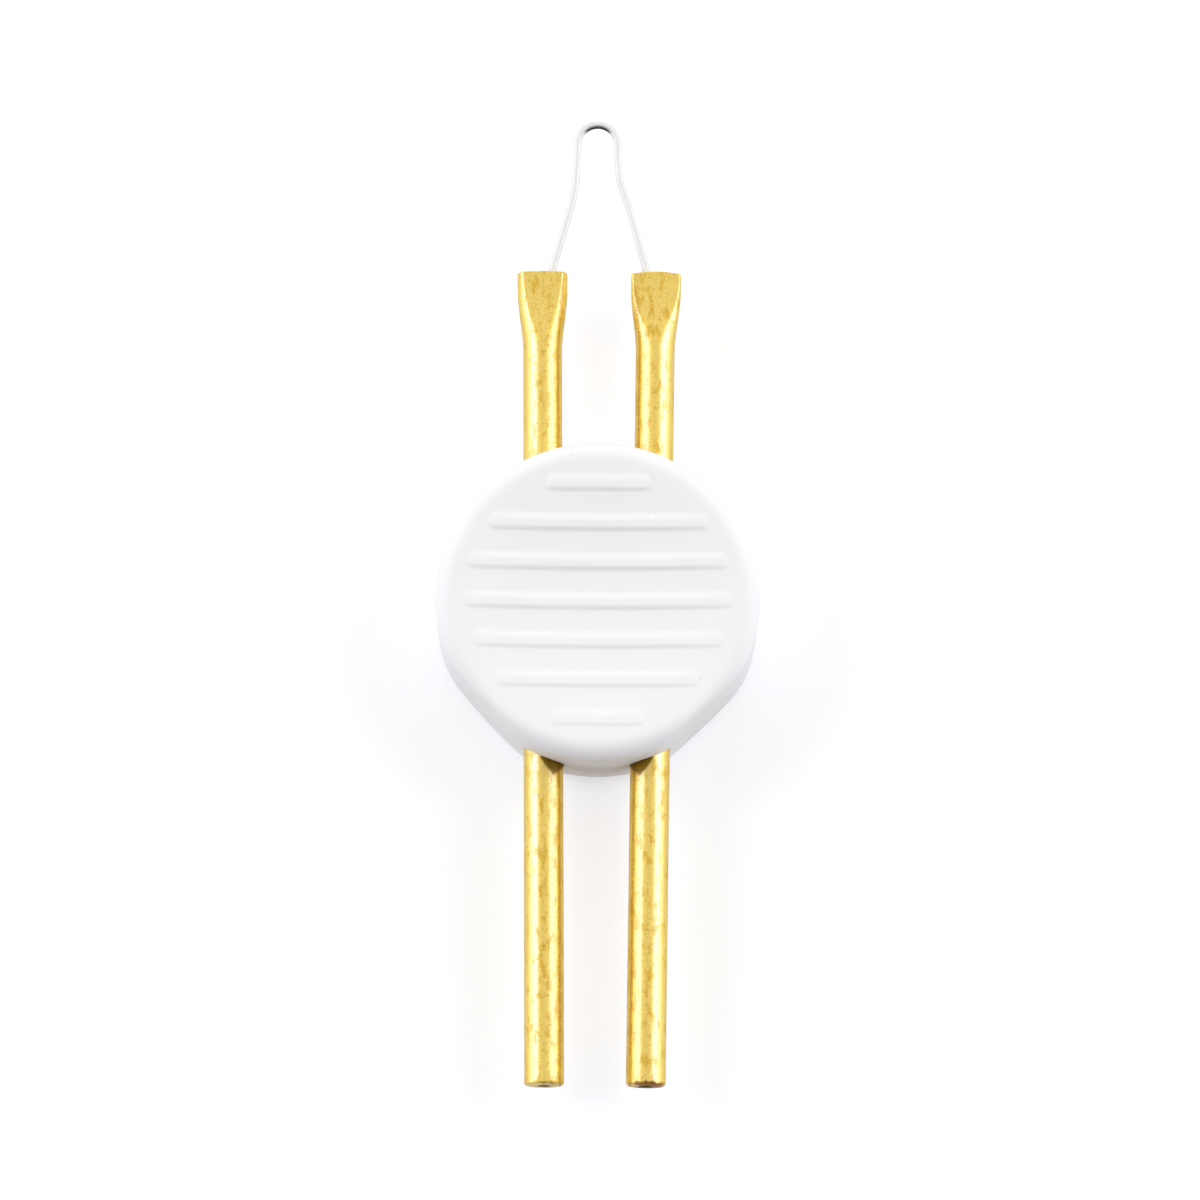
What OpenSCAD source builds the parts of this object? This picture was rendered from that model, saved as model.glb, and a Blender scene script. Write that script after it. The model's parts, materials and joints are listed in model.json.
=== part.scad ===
// Plug-in hot-wire tip for a hand-held thread burner.
// Two brass contact tubes are crimped at one end on the legs of a resistance-wire
// hairpin, and a round pinch grip of two ribbed, dished shells clamps them side by side.
// X runs across the tubes, Y runs along them towards the wire, Z out of the front shell.
// The origin is the middle of the part's length and width, on the plane that it lies on.

/* [Contact tubes] */
// Outside diameter of each tube
tube_d = 2.38; // [2.2:0.01:2.8]
// Wall of each tube
tube_wall = 0.36; // [0.25:0.01:0.45]
// From the grip's centre to the plug ends
plug_reach = 28.9; // [20:0.05:40]
// From the grip's centre to the crimped mouths
crimp_reach = 21.1; // [16:0.05:32]
// Between the tubes' centres at the plug ends
plug_pitch = 6.05; // [5.4:0.05:6.8]
// Between the tubes' centres at the crimped mouths
crimp_pitch = 6.98; // [6.2:0.02:7.8]
// Hole left in each rolled-in plug end
end_hole_d = 0.74; // [0.4:0.02:1.2]
// Outer corner of each plug end
end_round = 0.2; // [0.1:0.02:0.32]
// Depth of the waist that the grip's wall holds each tube by
waist_depth = 0.2; // [0.16:0.01:0.24]

/* [Crimps] */
// Length squeezed flat behind each mouth
crimp_len = 2; // [1.2:0.1:3]
// Length over which the flat turns back into the round tube
crimp_blend = 2.3; // [1.6:0.1:3.5]

/* [Heating wire] */
// Diameter of the wire
wire_d = 0.47; // [0.3:0.01:0.55]
// From the crimped mouths to the top of the wire
tip_reach = 9.68; // [7:0.02:14]
// Radius of the arch, to the wire's centre line
arch_r = 1.22; // [0.8:0.02:1.6]
// Lean of the short legs under the arch, in degrees
upper_splay = 2.9; // [0:0.1:5]
// From the arch's centre down to the bends
bend_drop = 2.45; // [1.6:0.05:3]
// Radius of the bends, to the wire's centre line
bend_r = 3; // [2:0.1:4]
// How far inside each tube's centre line the wire enters its mouth
wire_inset = 0.56; // [0.3:0.01:0.62]
// How deep the wire's ends go below the mouths
wire_seat = 3.3; // [2.4:0.1:3.5]

/* [Grip] */
// Diameter of the grip
grip_d = 19.5; // [18.6:0.1:24]
// Thickness of both shells together
grip_t = 7.8; // [7.2:0.1:10]
// Rounding of the rims
rim_round = 1.2; // [1:0.05:2]
// Flat land on the crest of each rim
land_w = 0.3; // [0.2:0.05:0.6]
// Wall behind the edge of the shells
edge_wall = 1.5; // [1.2:0.05:1.8]
// Wall under the middle of the faces
face_wall = 1.2; // [0.8:0.05:1.4]
// Break along the edges where the shells meet
seam_break = 0.06; // [0.03:0.01:0.12]
// Depth of the two flats beside the plug ends
flat_depth = 0.5; // [0.2:0.05:0.6]
// Direction of those flats, in degrees below the X axis
flat_angle = 47; // [44:1:50]

/* [Grip faces] */
// Depth of the dish in the middle of each face
dish_depth = 0.75; // [0.5:0.05:0.9]
// Number of finger ribs on each face
rib_count = 7; // [3:2:9]
// Distance between the ribs
rib_pitch = 2.4; // [1.8:0.05:2.4]
// Width of each rib
rib_w = 0.7; // [0.4:0.05:0.9]
// Height of each rib over the dish
rib_h = 0.35; // [0.2:0.05:0.45]
// How far the rows of ribs are moved from the middle towards the plug ends
rib_shift = 0.15; // [0:0.05:0.5]

/* [Inside the grip] */
// Thickness of the webs that the tubes lie in
saddle_t = 1.2; // [0.8:0.1:1.6]
// From the grip's centre to each web
saddle_y = 5.2; // [4.8:0.1:5.6]
// Diameter of the locating pegs
peg_d = 1.2; // [0.8:0.05:1.4]
// Length of the locating pegs
peg_len = 1.3; // [0.8:0.1:1.5]
// Wall around each peg's socket
boss_wall = 0.55; // [0.4:0.05:0.65]

/* [Fits] */
// Clearance around each tube in the shells, on the radius
tube_gap = 0.05; // [0.02:0.01:0.1]
// Clearance around each peg in its socket, on the radius
peg_gap = 0.05; // [0.02:0.01:0.1]
// Clearance on each side of the wire between the crimped walls
wire_gap = 0.01; // [0:0.005:0.03]

/* [Hidden] */
$fn = 96;
lap = 0.02;
skin = 0.01;
wire_sides = 16;
arch_steps = 12;
bend_steps = 4;
crimp_sides = 32;
crimp_steps = 8;

tube_r = tube_d / 2;
bore_r = tube_r - tube_wall;
waist_r = tube_r - waist_depth;
channel_r = tube_r + tube_gap;
wire_r = wire_d / 2;

// The crimped walls close on the wire.
crimp_t = wire_d + 2 * (tube_wall + wire_gap);
blend_start = crimp_reach - crimp_len - crimp_blend;

// The tubes run together towards the plug ends.
toe = atan((crimp_pitch - plug_pitch) / 2 / (plug_reach + crimp_reach));
tube_x = plug_pitch / 2 + plug_reach * tan(toe);

grip_r = grip_d / 2;
half_t = grip_t / 2;
rim_z = half_t - rim_round;
crest_r = grip_r - rim_round;
dish_r = crest_r - land_w;
ball_r = (pow(dish_r, 2) + pow(dish_depth, 2)) / (2 * dish_depth);
flat_reach = grip_r - flat_depth;
cavity_r = grip_r - edge_wall;
cavity_h = half_t - dish_depth - face_wall;
rib_root = half_t - dish_depth - face_wall / 2;
rib_end_r = dish_r - land_w / 6;

web_out = saddle_y + saddle_t / 2;
waist_in = (web_out + sqrt(pow(cavity_r, 2) - pow(tube_x + channel_r, 2))) / 2;
waist_out = grip_r + tube_gap;

boss_r = peg_d / 2 + peg_gap + boss_wall;
side_boss_x = (tube_x + channel_r + cavity_r) / 2;
boss_spots = [[0, saddle_y / 2], [0, -saddle_y / 2], [side_boss_x, 0], [-side_boss_x, 0]];

// The part's length is split in half at the origin, and the rear land lies on Z = 0.
grip_y = (plug_reach - crimp_reach - tip_reach) / 2;
mid_z = half_t;

// The wire: arch, short leg, bend and long leg, on the side of positive X.
mouth_x = crimp_pitch / 2 - wire_inset;
mouth_y = grip_y + crimp_reach;
arch_y = mouth_y + tip_reach - arch_r - wire_r;
corner_x = arch_r / cos(upper_splay) + bend_drop * tan(upper_splay);
corner_y = arch_y - bend_drop;
leg_splay = atan((mouth_x - corner_x) / (corner_y - mouth_y));
bend_turn = leg_splay - upper_splay;
bend_tangent = bend_r * tan(bend_turn / 2);
bend_top = [corner_x - bend_tangent * sin(upper_splay), corner_y + bend_tangent * cos(upper_splay)];
bend_centre = [bend_top[0] + bend_r * cos(upper_splay), bend_top[1] + bend_r * sin(upper_splay)];
wire_end = [mouth_x + wire_seat * tan(leg_splay), mouth_y - wire_seat];
half_route = concat(
    arc_points([0, arch_y], arch_r, 90, upper_splay, arch_steps),
    arc_points(bend_centre, bend_r, 180 + upper_splay, 180 + leg_splay, bend_steps),
    [wire_end]);
route = concat(
    [for (k = [len(half_route) - 1 : -1 : 1]) [-half_route[k][0], half_route[k][1]]],
    half_route);

// ---- Contact tubes ----

// Stands children on a tube's axis: their Z runs towards the wire, from the grip's centre.
module on_tube(side) {
    translate([side * tube_x, grip_y, mid_z])
        rotate([0, 0, -side * toe])
            rotate([-90, 0, 0])
                children();
}

// A bar outline with half-round ends: w wide over all, t thick.
module stadium(w, t) {
    square([w - t, t], center = true);
    for (end = [-1, 1])
        translate([end * (w - t) / 2, 0])
            circle(d = t);
}

// How far the crimp has closed at a step: a smooth S from 0 to 1, then flat up to the mouth.
function closed(step) =
    let (s = max(0, min(step / (crimp_steps - 1), 1)))
    s * s * (3 - 2 * s);

// How high a step lies: the root, even steps through the blend, and the last one at the mouth.
function step_z(step) =
    step < 0 ? blend_start - lap :
    step == crimp_steps ? crimp_reach :
    blend_start + crimp_blend * step / (crimp_steps - 1);

// The tube's outline at a step, moved in by inset. A crimp keeps the length of the
// outline, so the flatter it is the wider it gets.
function crimp_ring(step, inset) =
    let (
        t = tube_d + (crimp_t - tube_d) * closed(step),
        w = (PI * tube_d - (PI - 2) * t) / 2
    )
    [for (k = [0 : crimp_sides - 1])
        let (turn = 360 * (k + 0.5) / crimp_sides)
        [sign(cos(turn)) * (w - t) / 2 + (t / 2 - inset) * cos(turn),
         (t / 2 - inset) * sin(turn),
         step_z(step)]];

// The faces between one ring of points and the next, and between the last and the first.
function ring_faces(rings, sides, closed_loop) =
    [for (j = [0 : rings - (closed_loop ? 1 : 2)], k = [0 : sides - 1])
        let (
            here = j * sides,
            next = ((j + 1) % rings) * sides,
            along = (k + 1) % sides
        )
        each [[here + k, next + k, next + along], [here + k, next + along, here + along]]];

// The wall of the flattened end: up the outside, over the mouth and down the inside.
// It starts on a short root inside the round tube's wall.
module crimp_wall() {
    steps = [-1 : crimp_steps];
    outside = [for (step = steps) each crimp_ring(step, skin)];
    inside = [for (step = steps) each crimp_ring(crimp_steps - 1 - step, tube_wall - skin)];
    polyhedron(concat(outside, inside), ring_faces(2 * (crimp_steps + 2), crimp_sides, true));
}

// The tube's section below the crimp, with the plug end's rounded corner.
module tube_section() {
    translate([0, -plug_reach])
        square([tube_r - end_round, 2 * end_round]);
    translate([tube_r - end_round, end_round - plug_reach])
        circle(r = end_round);
    translate([0, end_round - plug_reach])
        square([tube_r, plug_reach - end_round + blend_start]);
}

module contact_tube(side) {
    color("goldenrod")
        on_tube(side) {
            difference() {
                rotate_extrude()
                    tube_section();
                // waist
                rotate_extrude()
                    translate([waist_r, -waist_out])
                        square([tube_r, waist_out - waist_in]);
                // bore, closed to a small hole at the plug end
                translate([0, 0, tube_wall - plug_reach])
                    cylinder(r = bore_r, h = plug_reach + crimp_reach);
                translate([0, 0, -2 * plug_reach])
                    cylinder(d = end_hole_d, h = 2 * plug_reach);
            }
            crimp_wall();
        }
}

module contact_tube_left() {
    contact_tube(-1);
}

module contact_tube_right() {
    contact_tube(1);
}

// ---- Heating wire ----

// Points on an arc, from one angle to another in even steps.
function arc_points(centre, radius, from, to, steps) =
    [for (k = [0 : steps])
        let (angle = from + (to - from) * k / steps)
        centre + radius * [cos(angle), sin(angle)]];

// The wire's round outline at one point of its route, square to the way that it runs there.
function wire_ring(k) =
    let (
        ahead = route[min(k + 1, len(route) - 1)] - route[max(k - 1, 0)],
        across = [ahead[1], -ahead[0]] / norm(ahead)
    )
    [for (j = [0 : wire_sides - 1])
        let (turn = 360 * j / wire_sides)
        [route[k][0] + wire_r * cos(turn) * across[0],
         route[k][1] + wire_r * cos(turn) * across[1],
         wire_r * sin(turn)]];

module heating_wire() {
    rings = len(route);
    color("gainsboro")
        translate([0, 0, mid_z])
            polyhedron(
                [for (k = [0 : rings - 1]) each wire_ring(k)],
                concat(
                    ring_faces(rings, wire_sides, false),
                    [[for (j = [0 : wire_sides - 1]) j],
                     [for (j = [wire_sides - 1 : -1 : 0]) (rings - 1) * wire_sides + j]]));
}

// ---- Grip shells: the front half, on its seam plane, with the face up ----

// Half of a rim's section: straight edge, rounded rim, and a broken corner at the seam.
module rim_section(reach) {
    polygon([[0, 0], [reach - seam_break, 0], [reach, seam_break],
             [reach, rim_z], [reach - rim_round, half_t], [0, half_t]]);
    translate([reach - rim_round, rim_z])
        circle(r = rim_round);
}

// The outside: a round button with two flats beside the plug ends.
module button() {
    intersection() {
        rotate_extrude()
            intersection() {
                rim_section(grip_r);
                square([grip_r, half_t]);
            }
        for_flats();
    }
}

// What lies inside both flats.
module for_flats() {
    intersection() {
        flat_block(-flat_angle);
        flat_block(180 + flat_angle);
    }
}

module flat_block(direction) {
    rotate([0, 0, direction])
        rotate([90, 0, 0])
            linear_extrude(3 * grip_r, center = true) {
                rim_section(flat_reach);
                translate([-2 * grip_r, 0])
                    square([2 * grip_r, half_t]);
            }
}

// The ball that hollows the face, raised over the dish's floor.
module dish_ball(raised) {
    translate([0, 0, half_t - dish_depth + ball_r + raised])
        sphere(r = ball_r, $fn = 180);
}

// Bars across the face, each as long as the circle through their ends allows.
// A row that would be shorter than it is wide is left out.
module rib_bars() {
    for (row = [0 : rib_count - 1]) {
        y = (row - (rib_count - 1) / 2) * rib_pitch - rib_shift;
        room = pow(rib_end_r, 2) - pow(abs(y) + rib_w / 2, 2);
        if (room > pow(rib_w / 2, 2))
            translate([0, y, rib_root])
                linear_extrude(half_t)
                    stadium(2 * sqrt(room), rib_w);
    }
}

// The button with its dish; the ribs are what the dish leaves of the bars.
module faced_button() {
    difference() {
        button();
        difference() {
            dish_ball(0);
            rib_bars();
        }
        dish_ball(rib_h);
    }
}

// The hollow between the shells, around the webs that the tubes lie in and the bosses.
module hollow() {
    difference() {
        translate([0, 0, -lap])
            cylinder(r = cavity_r, h = cavity_h + lap);
        for (end = [-1, 1])
            translate([-grip_r, end * saddle_y - saddle_t / 2, -half_t])
                cube([grip_d, saddle_t, grip_t]);
        for (spot = boss_spots)
            translate([spot[0], spot[1], -half_t])
                cylinder(r = boss_r, h = grip_t);
    }
}

// The space of one tube: its waist in the lower wall, its full width above.
// The quarter turn keeps each cylinder's start line off the plane where the shells meet.
module tube_space(side) {
    translate([0, -grip_y, -mid_z])
        on_tube(side)
            rotate([0, 0, 90]) {
                translate([0, 0, -waist_in])
                    cylinder(r = channel_r, h = waist_in + grip_d);
                translate([0, 0, -grip_d])
                    cylinder(r = waist_r + tube_gap, h = grip_d - waist_in + lap);
            }
}

module shell_half() {
    difference() {
        faced_button();
        hollow();
        tube_space(-1);
        tube_space(1);
    }
}

module grip_front_shell() {
    color("ghostwhite")
        translate([0, grip_y, mid_z]) {
            shell_half();
            for (spot = boss_spots)
                translate([spot[0], spot[1], -peg_len])
                    cylinder(d = peg_d, h = peg_len + lap);
        }
}

module grip_rear_shell() {
    color("white")
        translate([0, grip_y, mid_z])
            mirror([0, 0, 1])
                difference() {
                    shell_half();
                    for (spot = boss_spots)
                        translate([spot[0], spot[1], -lap])
                            cylinder(d = peg_d + 2 * peg_gap, h = peg_len + 2 * peg_gap + lap);
                }
}

contact_tube_left();
contact_tube_right();
heating_wire();
grip_front_shell();
grip_rear_shell();
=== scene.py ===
"""A plug-in hot-wire tip for a thread burner: brass contact tubes, a hairpin wire and a ribbed grip.

Lengths are in metres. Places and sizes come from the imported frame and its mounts; the other values are
the small shapes that the frame's boxes don't give. The wire points along Y and the front faces up, along Z.
"""

import json
import math
from typing import NamedTuple

import bpy
import numpy as np
from mathutils import Matrix, Vector


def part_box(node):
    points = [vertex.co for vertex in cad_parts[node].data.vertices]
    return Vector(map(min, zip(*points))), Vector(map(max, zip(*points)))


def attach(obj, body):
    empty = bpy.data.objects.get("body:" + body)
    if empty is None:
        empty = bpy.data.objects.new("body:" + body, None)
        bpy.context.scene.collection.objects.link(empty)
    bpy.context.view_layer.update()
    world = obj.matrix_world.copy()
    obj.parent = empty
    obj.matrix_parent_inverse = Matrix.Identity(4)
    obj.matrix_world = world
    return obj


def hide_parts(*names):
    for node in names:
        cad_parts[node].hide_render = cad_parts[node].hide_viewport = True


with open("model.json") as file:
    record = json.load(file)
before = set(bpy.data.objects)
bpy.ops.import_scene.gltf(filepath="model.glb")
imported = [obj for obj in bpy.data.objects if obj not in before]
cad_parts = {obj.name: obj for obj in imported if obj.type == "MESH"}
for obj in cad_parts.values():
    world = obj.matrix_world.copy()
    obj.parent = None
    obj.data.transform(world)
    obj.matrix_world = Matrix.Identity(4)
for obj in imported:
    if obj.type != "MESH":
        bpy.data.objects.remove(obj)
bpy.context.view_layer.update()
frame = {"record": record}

MM = 0.001
SHARP_ANGLE = math.radians(40)   # between faces, past which an edge isn't shaded smooth

# ---- Places that the frame gives ----

mounts = {m["name"]: m for m in frame["record"]["mounts"]}
rear_low, rear_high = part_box("grip_rear_shell")
front_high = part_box("grip_front_shell")[1]
wire_low, wire_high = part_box("heating_wire")

GRIP_R = (rear_high.x - rear_low.x) / 2
GRIP_Y = (rear_low.y + rear_high.y) / 2
SEAM_Z = rear_high.z
HALF_T = front_high.z - SEAM_Z
TUBE_R = mounts["contact_left"]["dims"]["r_mm"] * MM
WIRE_R = (wire_high.z - wire_low.z) / 2

# ---- Grip ----

RIM_ROUND = 1.2 * MM          # rounding from the wall to the crest of the rim
CREST_EASE = 0.15 * MM        # how softly the crest turns into the dish
SEAM_ROUND = 0.07 * MM        # rounding where the shells meet
EDGE_WALL = 1.5 * MM          # from the grip's edge in to the hollow behind the face
HOLLOW_H = 1.9 * MM           # height of that hollow over the seam
DISH_R = 8.25 * MM            # where the dish would come up to the rim's full height
DISH_DEPTH = 0.75 * MM
FLAT_REACH = 9.22 * MM        # from the grip's centre to its two flats
FLATS = ((-47, 0.06 * MM, 0.2 * MM),   # each flat's direction in degrees and the easing of its two corners
         (224, 0.3 * MM, 0.17 * MM))
EASE_TURN = 0.5               # radians over which a flat's first easing gives way to its second
LEAST_COS = 0.1               # keeps a flat's line in reach on the far side of the grip
FACE_ROWS = 400
FACE_COLUMNS = 92
ARC_STEPS = 16                # round the rim
SEAM_ROWS = 4                 # round the seam's edge
WALL_STEP = 0.05 * MM         # between the rows down the wall

# ---- Ribs ----

# half of each rib's length in mm, without its round ends, from the row nearest the plug ends upwards
RIB_HALF_LENGTHS = (2.42, 5.7, 7.15, 7.7, 7.45, 6.22, 2.75)
RIB_PITCH = 2.4 * MM
RIB_SHIFT = 0.2 * MM          # the rows stand this far from the middle, towards the plug ends
RIB_HALF_W = 0.45 * MM        # from a rib's middle line to its foot, on the side of the plug ends
RIB_FLANK = 0.33 * MM         # how much of that width is its slope
RIB_EASE = 0.6                # how much gentler the flank towards the wire is
RIB_H = 0.185 * MM            # of the top row
RIB_FADE = 0.019 * MM         # how much lower each row is than the one above it
RIB_LOW_H = 0.11 * MM         # but no lower than this

# ---- Holes in the grip's wall for the tubes ----

HOLE_GAP = 0.05 * MM          # around each tube
HOLE_DEPTH = 1.0 * MM
HOLE_SNAP = 0.036 * MM        # a point this near the hole's edge is moved onto it
NEVER_ZERO = 1e-12            # added to a distance that something is divided by

# ---- Tubes ----

TUBE_WALL = 0.36 * MM
END_ROUND = 0.2 * MM          # rounding of the rolled-in end
END_HOLE_R = 0.37 * MM        # of the hole that the rolled-in end leaves
HOLE_EDGE = 0.06 * MM         # rounding of that hole's edge
MOUTH_EDGE = 0.06 * MM        # rounding of the mouth's edges
MOUTH_W = 3.07 * MM           # across the flattened mouth
MOUTH_T = 1.21 * MM           # between its two flats
WIDEN_START = 5.05 * MM       # from the mouth down to where the tube starts to widen
WIDEN_END = 1.05 * MM         # and to where it is at its widest
FLAT_CUT = 28                 # how sharply the flats cut the section, as the power of a mean
FLAT_RISE = 3                 # how steeply the flats rise clear of the tube below their lower end
BOW_FADE = 1.5 * MM           # how far below the mouth its bow has faded out
TUBE_END_GAP = 0.1            # the part of END_ROUND by which both ends stand inside the tube's box
TUBE_COLUMNS = 192
OUTLINE_STEPS = 1440          # in which a section's outline is measured
QUARTER_ROWS = 7
STRAIGHT_ROWS = 60
CRIMP_ROWS = 100
INSIDE_ROWS = 40
SHADE_WEDGE_ROW_STEP = 0.05 * MM    # between the rows near the grip's lower wall
NO_HEIGHT = 1e-9              # added to a height of nothing, so that its powers stay finite

# ---- Marks and painted shade on the tubes ----

# the dark wedge is painted shade, where the brass mirrors the grip's shaded lower wall
SHADE_WEDGE_DEPTH = 0.9 * MM        # of the dark wedge under the grip's wall
SHADE_WEDGE_START = -0.17           # where the wedge starts, from 0 on the tube's top line to 1 on its inner side
SHADE_WEDGE_PEAK = 0.51             # and where it is deepest
SHADE_WEDGE_FALL = 1.95             # how fast it gets shallower past that
SHADE_WEDGE_CURVE = 0.7             # the power that rounds its outline
SHADE_WEDGE_THINNING = 0.22         # how much weaker it is at its full depth
SHADE_WEDGE_EDGE = 0.24 * MM        # width of its soft edge
SHADE_WEDGE_ABOVE = 1.0 * MM        # how far it goes on inside the grip
HOLE_SHADE_EDGE = 0.1 * MM     # how far the painted shade in the end's hole spreads over the edge
FLAT_TOUCH = 0.03 * MM        # a point this near a flat counts as pressed
PRESS_FADE = 0.2 * MM         # over which the pressed facet fades out at its lower end

# ---- Wire ----

ARCH_R = 1.22 * MM            # to the wire's centre line
ARCH_SPLAY = math.radians(2.9)
ARCH_LEAN = 0.15 * MM         # how far the arch has been pushed towards the left tube
LEAN_START = 4.2 * MM         # from the mouths up to where that push starts
LEAN_RISE = 2.4 * MM          # and how much further up it is complete
BEND_DROP = 2.45 * MM         # from the arch's centre down to the bend
BEND_R = 3.0 * MM
WIRE_INSET = 0.56 * MM        # from a tube's middle in to where the wire enters its mouth
WIRE_SEAT = 3.2 * MM          # how deep the wire goes into the mouth
WIRE_SIDES = 28
ARCH_POINTS = 40
BEND_POINTS = 14
SHORT_LEG_POINTS = 14
LONG_LEG_POINTS = 50
ARCH_SHADE_INSIDE = (0.1, 0.9)    # how squarely the wire's side faces inwards where the painted shade starts, and is full
ARCH_SHADE_TOP = (0.55, 0.85)     # and how squarely the wire runs across there

# ---- Colours, as red, green, blue and alpha ----

WHITE_SHADE = (0.88, 0.87, 0.895, 1)
WHITE_PALE = (0.90, 0.89, 0.915, 1)
WHITE_SPECK = (0.55, 0.53, 0.53, 1)
BRASS_DEEP = (0.87, 0.60, 0.02, 1)
BRASS_PALE = (0.93, 0.69, 0.05, 1)
OCHRE_STAIN = (0.71, 0.45, 0.003, 1)
OCHRE_MOTTLE = (0.70, 0.44, 0.01, 1)
# painted shade: the dark gap between the tubes mirrored along each tube's inner side
INNER_SHADE_BROWN = (0.50, 0.27, 0.005, 1)
SPECK_BROWN = (0.35, 0.17, 0.01, 1)
TARNISH_BROWN = (0.36, 0.15, 0.02, 1)
# painted shade: the grip's shaded wall mirrored in the tubes, and the shade in their ends' holes
PAINTED_SHADE_BROWN = (0.22, 0.12, 0.003, 1)
WIRE_GREY = (0.80, 0.80, 0.795, 1)
WIRE_PALE = (0.86, 0.86, 0.855, 1)
# painted shade: the dark that the inside of the wire's arch mirrors
ARCH_SHADE_BLACK = (0.03, 0.027, 0.025, 1)
# painted bluer against the yellow light that the brass throws on the floor between the tubes
FLOOR_BETWEEN = (0.75, 0.782, 0.875, 1)
FLOOR_BESIDE = (0.73, 0.742, 0.765, 1)
PURE_WHITE = (1, 1, 1, 1)

# ---- Floor, light and camera ----

FLOOR_HALF = 1.5
FLOOR_CHANGE = (3 * MM, 8 * MM)   # from the middle to where the floor's colour starts and ends its change
CAMERA_LIFT = 0.37            # how much brighter the floor is to the camera
GLOSSY_LIFT = 0.03            # and to the metal
LAMP_PLACE = (0.62, 0.15, 0.49)   # of the right lamp, which the left one mirrors
LAMP_SIZE = (0.27, 0.48)
LAMP_RADIANCE = 4.4
CAMERA_LEAN = math.radians(11.5)   # from square on, towards the plug ends
CAMERA_ROLL = math.radians(0.31)
CAMERA_DISTANCE = 0.33
CAMERA_AIM = (0.145 * MM, 0.65 * MM)   # across and along from the grip's centre
CAMERA_LENS = 163.35          # in mm, as the sensor's width is
CAMERA_SENSOR = 36


# ======== Mesh making ========

def smooth_step(t):
    """0 below t = 0, 1 above t = 1, and 3t^2 - 2t^3 in between."""
    t = np.clip(t, 0, 1)
    return t * t * (3 - 2 * t)


def step_between(value, limits):
    """A smooth step of a value, from 0 at the first limit to 1 at the second."""
    start, end = limits
    return smooth_step((value - start) / (end - start))


def grid_faces(rows, columns, rows_closed, columns_closed, start=0):
    """The quads between a grid's points; a closed direction joins its last line to its first."""
    row = np.arange(rows if rows_closed else rows - 1)[:, None]
    column = np.arange(columns if columns_closed else columns - 1)[None, :]
    row_next = (row + 1) % rows
    column_next = (column + 1) % columns
    corners = [row * columns + column, row_next * columns + column,
               row_next * columns + column_next, row * columns + column_next]
    return np.stack(corners, -1).reshape(-1, 4) + start


def make_piece(name, points, faces, material, node, slot, **attributes):
    """A closed mesh on the object's one body, from arrays of points and faces and values for each point."""
    corners = [face for group in faces for face in group.tolist()]
    mesh = bpy.data.meshes.new(name)
    mesh.from_pydata(points.reshape(-1, 3).tolist(), [], corners)
    mesh.validate()
    mesh.shade_smooth()
    mesh.set_sharp_from_angle(angle=SHARP_ANGLE)
    for attribute, values in attributes.items():
        layer = mesh.attributes.new(attribute, "FLOAT", "POINT")
        layer.data.foreach_set("value", values.ravel().astype(np.float32))
    mesh.materials.append(material)
    piece = bpy.data.objects.new(name, mesh)
    bpy.context.scene.collection.objects.link(piece)
    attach(piece, "root")
    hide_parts(node)


# ======== Node making ========

def add(tree, kind, settings=None, **inputs):
    """A node with its settings, and its inputs set or linked by name; a double underscore gives a number."""
    node = tree.nodes.new(kind)
    for setting, value in (settings or {}).items():
        setattr(node, setting, value)
    for name, value in inputs.items():
        socket = node.inputs[int(name[2:]) if name.startswith("__") else name.replace("_", " ")]
        if isinstance(value, bpy.types.NodeSocket):
            tree.links.new(value, socket)
        else:
            socket.default_value = value
    return node


def math_node(tree, operation, *values):
    """The output of a Math node on sockets or numbers."""
    inputs = {"__%d" % k: value for k, value in enumerate(values)}
    return add(tree, "ShaderNodeMath", {"operation": operation}, **inputs).outputs[0]


def chain(tree, operation, first, *others):
    """One operation of two values carried through a whole row of them, such as a product or a maximum."""
    result = first
    for value in others:
        result = math_node(tree, operation, result, value)
    return result


def ramp_between(tree, value, low, high, to_low=0.0, to_high=1.0):
    """A smooth ramp of a value: to_low at low, to_high at high."""
    return add(tree, "ShaderNodeMapRange", {"interpolation_type": "SMOOTHSTEP"}, Value=value,
               From_Min=low, From_Max=high, To_Min=to_low, To_Max=to_high).outputs["Result"]


def mix_colours(tree, factor, first, second):
    """The first colour where the factor is 0, and the second where it is 1."""
    return add(tree, "ShaderNodeMix", {"data_type": "RGBA"}, __0=factor, __6=first, __7=second).outputs[2]


def read_attribute(tree, name):
    """The value that a piece's mesh carries for each point."""
    return add(tree, "ShaderNodeAttribute", {"attribute_name": name}).outputs["Fac"]


def object_place(tree, scale=(1, 1, 1)):
    """Object coordinates, scaled along each axis."""
    place = add(tree, "ShaderNodeTexCoord").outputs["Object"]
    return add(tree, "ShaderNodeMapping", Vector=place, Scale=scale).outputs["Vector"]


def noise(tree, place, scale, detail=2.0, roughness=0.5):
    """The value of a noise texture, about 0.5 on average."""
    return add(tree, "ShaderNodeTexNoise", Vector=place, Scale=scale, Detail=detail,
               Roughness=roughness).outputs["Fac"]


def new_group(name, inputs, outputs):
    """An empty shader group with its sockets: (tree, its inputs, its output node)."""
    tree = bpy.data.node_groups.new(name, "ShaderNodeTree")
    for socket, kind, value in inputs:
        made = tree.interface.new_socket(socket, in_out="INPUT", socket_type=kind)
        made.default_value = value
    for socket, kind in outputs:
        tree.interface.new_socket(socket, in_out="OUTPUT", socket_type=kind)
    return tree, tree.nodes.new("NodeGroupInput").outputs, tree.nodes.new("NodeGroupOutput")


def place_group(tree, group, **inputs):
    """The outputs of a group placed in a material with its own values."""
    return add(tree, "ShaderNodeGroup", {"node_tree": group}, **inputs).outputs


def new_material(name):
    """A node material: (material, its tree, its shader)."""
    material = bpy.data.materials.new(name)
    material.use_nodes = True
    tree = material.node_tree
    return material, tree, tree.nodes["Principled BSDF"]


# ======== Shared effects ========

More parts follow.
